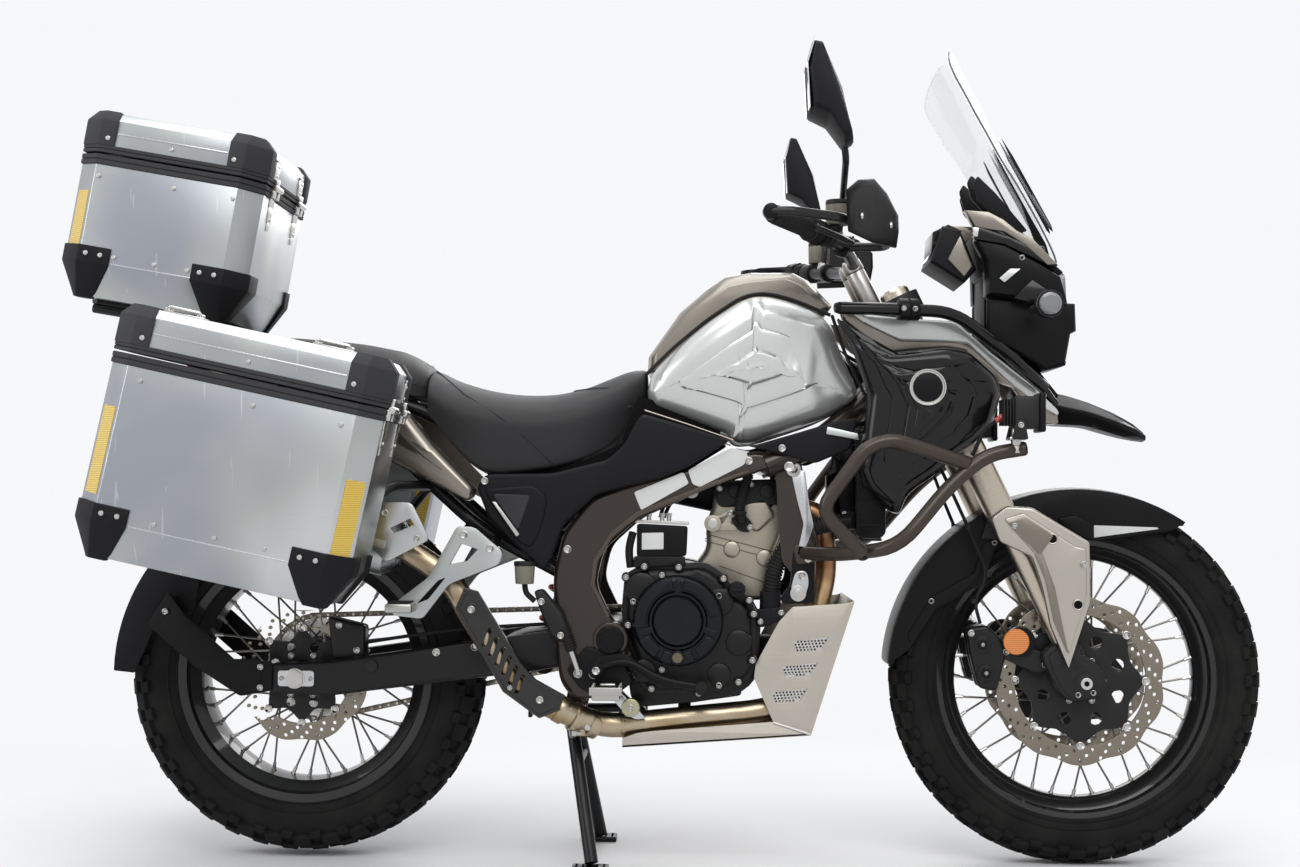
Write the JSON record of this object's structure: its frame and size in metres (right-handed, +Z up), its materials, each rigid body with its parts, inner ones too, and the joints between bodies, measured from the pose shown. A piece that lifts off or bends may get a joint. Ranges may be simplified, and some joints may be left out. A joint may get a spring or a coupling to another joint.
{
  "type": "adventure motorcycle",
  "caption": "Adventure touring motorcycle with wire wheels, tall screen, crash bars and hard cases with opening lids, parked on its centre stand.",
  "frame": {"origin": "on the floor, below the middle of the whole length and width", "axes": "+X forward along the length, +Y to the rider's left, +Z up"},
  "size_m": [2.1343, 0.966, 1.46],
  "materials": {
    "amber_lens": "gloss",
    "black_paint": "gloss",
    "black_plastic": "matt",
    "bronze_paint": "satin metallic",
    "brushed_aluminium": "brushed",
    "champagne_metal": "anodised",
    "clear_screen": "clear",
    "disc_steel": "ground",
    "engine_alloy": "coated",
    "gloss_black": "gloss",
    "gold_steel": "heat tinted",
    "grip_rubber": "matt",
    "lamp_glass": "clear",
    "red_lens": "gloss",
    "seat_leather": "grained",
    "silver_paint": "gloss metallic",
    "spring_steel": "gloss",
    "steel": "bright",
    "tyre_rubber": "matt"
  },
  "bodies": {
    "machine": {"main_frame": "bronze_paint", "subframe": "black_paint", "swingarm": "black_paint", "rear_axle": "steel", "drive_chain": "steel", "rear_shock": "spring_steel", "engine": "engine_alloy", "radiator": "black_plastic", "exhaust_pipe": "gold_steel", "exhaust_shield": "gold_steel", "silencer": "brushed_aluminium", "skid_plate": "brushed_aluminium", "fuel_tank": "silver_paint", "tank_cover": "bronze_paint", "fairing_shrouds": "gloss_black", "fairing_accents": "silver_paint", "beak": "gloss_black", "headlight_housing": "gloss_black", "headlight_lens": "lamp_glass", "windscreen": "clear_screen", "instruments": "black_plastic", "rider_seat": "seat_leather", "pillion_seat": "seat_leather", "side_panels": "black_plastic", "tail_covers": "bronze_paint", "tail_lamp": "red_lens", "plate_holder": "black_plastic", "indicators": "amber_lens", "rear_mudguard": "black_plastic", "crash_bars": "black_paint", "aux_lamps": "black_plastic", "footrests": "black_paint", "top_case": "brushed_aluminium", "right_case": "brushed_aluminium", "left_case": "brushed_aluminium"},
    "steering": {"triple_clamps": "black_paint", "fork_outer_tubes": "champagne_metal", "fork_sliders": "black_paint", "fork_guards": "champagne_metal", "front_mudguard": "black_plastic", "front_calipers": "black_paint", "front_axle": "steel", "brake_hoses": "grip_rubber", "handlebar": "black_paint", "hand_controls": "grip_rubber", "handguards": "champagne_metal", "mirrors": "black_plastic"},
    "front_wheel": {"front_tyre": "tyre_rubber", "front_rim": "black_paint", "front_hub": "steel", "front_discs": "disc_steel"},
    "rear_wheel": {"rear_tyre": "tyre_rubber", "rear_rim": "black_paint", "rear_hub": "steel", "rear_disc": "disc_steel"},
    "centre_stand_leg": {"centre_stand": "black_paint"},
    "side_stand_leg": {"side_stand": "black_paint"},
    "top_lid": {"top_case_lid": "brushed_aluminium"},
    "right_lid": {"right_case_lid": "brushed_aluminium"},
    "left_lid": {"left_case_lid": "brushed_aluminium"}
  },
  "joints": [
    {"name": "steering_turn", "type": "hinge", "parent": "machine", "child": "steering", "pos_m": [0.70111, 0, 0.31534], "axis": [-0.4384, 0, 0.8988], "range_deg": [-35, 35]},
    {"name": "front_wheel_spin", "type": "hinge", "parent": "steering", "child": "front_wheel", "pos_m": [0.73526, 0, 0.332], "axis": [0, 1, 0], "continuous": true},
    {"name": "rear_wheel_spin", "type": "hinge", "parent": "machine", "child": "rear_wheel", "pos_m": [-0.6497, 0, 0.329], "axis": [0, 1, 0], "continuous": true},
    {"name": "centre_stand_fold", "type": "hinge", "parent": "machine", "child": "centre_stand_leg", "pos_m": [-0.16974, 0, 0.262], "axis": [0, 1, 0], "range_deg": [0, 72]},
    {"name": "side_stand_fold", "type": "hinge", "parent": "machine", "child": "side_stand_leg", "pos_m": [-0.05474, 0.172, 0.248], "axis": [0, 0.9659, 0.2588], "range_deg": [-98, 0]},
    {"name": "top_lid_hinge", "type": "hinge", "parent": "machine", "child": "top_lid", "pos_m": [-0.7011, 0, 1.19911], "axis": [0, 1, 0], "range_deg": [0, 85]},
    {"name": "right_lid_hinge", "type": "hinge", "parent": "machine", "child": "right_lid", "pos_m": [-0.43224, -0.365, 0.78814], "axis": [0, 1, 0], "range_deg": [0, 85]},
    {"name": "left_lid_hinge", "type": "hinge", "parent": "machine", "child": "left_lid", "pos_m": [-0.43224, 0.365, 0.78814], "axis": [0, 1, 0], "range_deg": [0, 85]}
  ]
}
